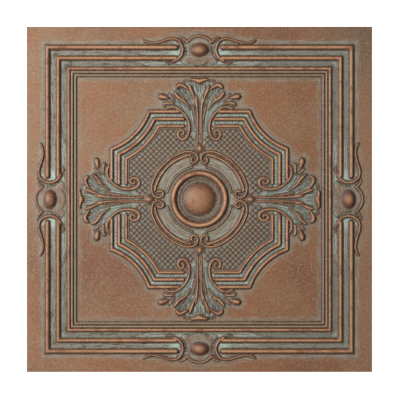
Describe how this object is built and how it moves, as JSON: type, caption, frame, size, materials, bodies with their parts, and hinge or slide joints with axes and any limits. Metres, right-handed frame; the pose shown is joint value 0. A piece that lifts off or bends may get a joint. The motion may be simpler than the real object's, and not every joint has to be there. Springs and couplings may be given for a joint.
{
  "type": "ceiling tile",
  "caption": "Square pressed sheet ceiling tile with a beaded frame, a plaque with scooped corners, palmettes, scrolls and a domed round boss.",
  "frame": {"origin": "centre of the tile in the plane of the flat back", "axes": "+Z out of the ornamented face, X and Y along the tile's sides"},
  "size_m": [0.603, 0.603, 0.0088],
  "materials": {
    "patinated_copper_face": "antique copper coating with brown and green-grey patina, satin"
  },
  "bodies": {
    "root": {"ceiling_tile": "patinated_copper_face"}
  },
  "joints": []
}
